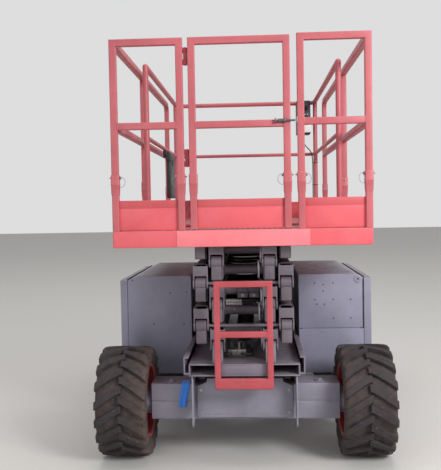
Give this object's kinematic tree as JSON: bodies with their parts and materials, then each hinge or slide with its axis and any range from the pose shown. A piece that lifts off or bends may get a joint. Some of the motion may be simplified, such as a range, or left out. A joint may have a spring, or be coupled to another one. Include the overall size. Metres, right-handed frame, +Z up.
{
  "type": "rough terrain scissor lift",
  "caption": "Self-propelled scissor lift: wheeled chassis with side hoods and ladder, folded scissor arms, railed platform with gate and sliding extension deck.",
  "frame": {"origin": "on the floor under the middle of the machine, platform down", "axes": "+X to the right seen from the ladder end, +Y from the ladder end towards the steered end, +Z up"},
  "size_m": [1.75, 2.6498, 2.4889],
  "materials": {
    "red_paint": "sun-faded coral red enamel, satin",
    "grey_paint": "mid grey enamel, satin, dusty",
    "arm_paint": "dark grey enamel, dusty",
    "rim_paint": "deep red enamel",
    "tyre_rubber": "dusty black rubber",
    "chrome": "hard chromed rod",
    "bare_steel": "turned steel",
    "engine_iron": "dark cast iron",
    "tank_paint": "black enamel",
    "black_plastic": "moulded black plastic"
  },
  "bodies": {
    "chassis": {"frame": "grey_paint", "frame_floor": "grey_paint", "frame_ends": "grey_paint", "channels": "grey_paint", "hanger_rear_left": "grey_paint", "hanger_rear_right": "grey_paint", "hanger_front_left": "grey_paint", "hanger_front_right": "grey_paint", "rear_axle": "grey_paint", "front_axle": "grey_paint", "rear_cover": "grey_paint", "ladder": "red_paint", "engine": "engine_iron", "tank": "tank_paint", "hood_left": "grey_paint", "hood_right": "grey_paint"},
    "door_left": {"door_left": "grey_paint"},
    "door_right": {"door_right": "grey_paint"},
    "knuckle_left": {"knuckle_left": "grey_paint"},
    "knuckle_right": {"knuckle_right": "grey_paint"},
    "steering_bar": {"steering_bar": "bare_steel"},
    "platform": {"platform": "red_paint", "rear_rail_left": "red_paint", "rear_rail_right": "red_paint", "side_rail_left": "red_paint", "side_rail_right": "red_paint"},
    "gate": {"gate": "red_paint"},
    "extension": {"extension_deck": "red_paint", "extension_rails": "red_paint", "control_box": "black_plastic", "document_box": "black_plastic"},
    "lift_barrel": {"lift_barrel": "arm_paint"},
    "lift_rod": {"lift_rod": "chrome"},
    "inner_arm_1": {"inner_arm_1": "arm_paint"},
    "outer_arm_1": {"outer_arm_1": "arm_paint"},
    "inner_arm_2": {"inner_arm_2": "arm_paint"},
    "outer_arm_2": {"outer_arm_2": "arm_paint"},
    "inner_arm_3": {"inner_arm_3": "arm_paint"},
    "outer_arm_3": {"outer_arm_3": "arm_paint"},
    "inner_arm_4": {"inner_arm_4": "arm_paint"},
    "outer_arm_4": {"outer_arm_4": "arm_paint"},
    "inner_arm_5": {"inner_arm_5": "arm_paint"},
    "outer_arm_5": {"outer_arm_5": "arm_paint"},
    "wheel_rear_left": {"rim_rear_left": "rim_paint", "tyre_rear_left": "tyre_rubber"},
    "wheel_rear_right": {"rim_rear_right": "rim_paint", "tyre_rear_right": "tyre_rubber"},
    "wheel_front_left": {"rim_front_left": "rim_paint", "tyre_front_left": "tyre_rubber"},
    "wheel_front_right": {"rim_front_right": "rim_paint", "tyre_front_right": "tyre_rubber"}
  },
  "joints": [
    {"name": "lift", "type": "hinge", "parent": "chassis", "child": "inner_arm_1", "pos_m": [0, -1.13, 0.684], "axis": [1, 0, 0], "range_deg": [0, 42]},
    {"name": "cross_1", "type": "hinge", "parent": "inner_arm_1", "child": "outer_arm_1", "pos_m": [0, -0.13, 0.747], "axis": [1, 0, 0], "range_deg": [-84, 0]},
    {"name": "link_1", "type": "hinge", "parent": "outer_arm_1", "child": "outer_arm_2", "pos_m": [0, -1.13, 0.81], "axis": [1, 0, 0], "range_deg": [0, 84]},
    {"name": "link_2", "type": "hinge", "parent": "outer_arm_2", "child": "outer_arm_3", "pos_m": [0, 0.87, 0.936], "axis": [1, 0, 0], "range_deg": [-84, 0]},
    {"name": "link_3", "type": "hinge", "parent": "outer_arm_3", "child": "outer_arm_4", "pos_m": [0, -1.13, 1.062], "axis": [1, 0, 0], "range_deg": [0, 84]},
    {"name": "link_4", "type": "hinge", "parent": "outer_arm_4", "child": "outer_arm_5", "pos_m": [0, 0.87, 1.188], "axis": [1, 0, 0], "range_deg": [-84, 0]},
    {"name": "cross_2", "type": "hinge", "parent": "outer_arm_2", "child": "inner_arm_2", "pos_m": [0, -0.13, 0.873], "axis": [1, 0, 0], "range_deg": [-84, 0]},
    {"name": "cross_3", "type": "hinge", "parent": "outer_arm_3", "child": "inner_arm_3", "pos_m": [0, -0.13, 0.999], "axis": [1, 0, 0], "range_deg": [0, 84]},
    {"name": "cross_4", "type": "hinge", "parent": "outer_arm_4", "child": "inner_arm_4", "pos_m": [0, -0.13, 1.125], "axis": [1, 0, 0], "range_deg": [-84, 0]},
    {"name": "cross_5", "type": "hinge", "parent": "outer_arm_5", "child": "inner_arm_5", "pos_m": [0, -0.13, 1.251], "axis": [1, 0, 0], "range_deg": [0, 84]},
    {"name": "platform_level", "type": "hinge", "parent": "outer_arm_5", "child": "platform", "pos_m": [0, -1.13, 1.314], "axis": [1, 0, 0], "range_deg": [0, 42]},
    {"name": "cylinder_swing", "type": "hinge", "parent": "chassis", "child": "lift_barrel", "pos_m": [0, -0.73, 0.684], "axis": [1, 0, 0], "range_deg": [0, 52.89]},
    {"name": "cylinder_stroke", "type": "slide", "parent": "lift_barrel", "child": "lift_rod", "axis": [0, 0.9957, 0.0923], "range_m": [0, 0.26904]},
    {"name": "steering", "type": "hinge", "parent": "chassis", "child": "knuckle_left", "pos_m": [-0.56, 0.995, 0.33], "axis": [0, 0, 1], "range_deg": [-30, 30]},
    {"name": "steering_right", "type": "hinge", "parent": "chassis", "child": "knuckle_right", "pos_m": [0.56, 0.995, 0.33], "axis": [0, 0, 1], "range_deg": [-30, 30]},
    {"name": "steering_slide", "type": "slide", "parent": "chassis", "child": "steering_bar", "axis": [1, 0, 0], "range_m": [-0.0751, 0.0751]},
    {"name": "wheel_rear_left", "type": "hinge", "parent": "chassis", "child": "wheel_rear_left", "pos_m": [-0.7225, -0.995, 0.33], "axis": [1, 0, 0], "continuous": true},
    {"name": "wheel_rear_right", "type": "hinge", "parent": "chassis", "child": "wheel_rear_right", "pos_m": [0.7225, -0.995, 0.33], "axis": [1, 0, 0], "continuous": true},
    {"name": "wheel_front_left", "type": "hinge", "parent": "knuckle_left", "child": "wheel_front_left", "pos_m": [-0.7225, 0.995, 0.33], "axis": [1, 0, 0], "continuous": true},
    {"name": "wheel_front_right", "type": "hinge", "parent": "knuckle_right", "child": "wheel_front_right", "pos_m": [0.7225, 0.995, 0.33], "axis": [1, 0, 0], "continuous": true},
    {"name": "gate_swing", "type": "hinge", "parent": "platform", "child": "gate", "pos_m": [-0.31, -1.21, 1.6], "axis": [0, 0, 1], "range_deg": [0, 90]},
    {"name": "deck_extension", "type": "slide", "parent": "platform", "child": "extension", "axis": [0, 1, 0], "range_m": [0, 1.2]},
    {"name": "door_left", "type": "hinge", "parent": "chassis", "child": "door_left", "pos_m": [-0.825, 0.552, 0.75], "axis": [0, 0, 1], "range_deg": [-80, 0]},
    {"name": "door_right", "type": "hinge", "parent": "chassis", "child": "door_right", "pos_m": [0.825, 0.552, 0.75], "axis": [0, 0, 1], "range_deg": [0, 80]}
  ],
  "couplings": [
    {"joint": "cross_1", "follows": "lift", "ratio": -2},
    {"joint": "link_1", "follows": "lift", "ratio": 2},
    {"joint": "link_2", "follows": "lift", "ratio": -2},
    {"joint": "link_3", "follows": "lift", "ratio": 2},
    {"joint": "link_4", "follows": "lift", "ratio": -2},
    {"joint": "cross_2", "follows": "lift", "ratio": -2},
    {"joint": "cross_3", "follows": "lift", "ratio": 2},
    {"joint": "cross_4", "follows": "lift", "ratio": -2},
    {"joint": "cross_5", "follows": "lift", "ratio": 2},
    {"joint": "platform_level", "follows": "lift", "ratio": 1},
    {"joint": "cylinder_swing", "follows": "lift", "ratio": 1.259},
    {"joint": "cylinder_stroke", "follows": "lift", "m_per_rad": 0.36701},
    {"joint": "steering_right", "follows": "steering", "ratio": 1},
    {"joint": "steering_slide", "follows": "steering", "m_per_rad": 0.14324}
  ]
}
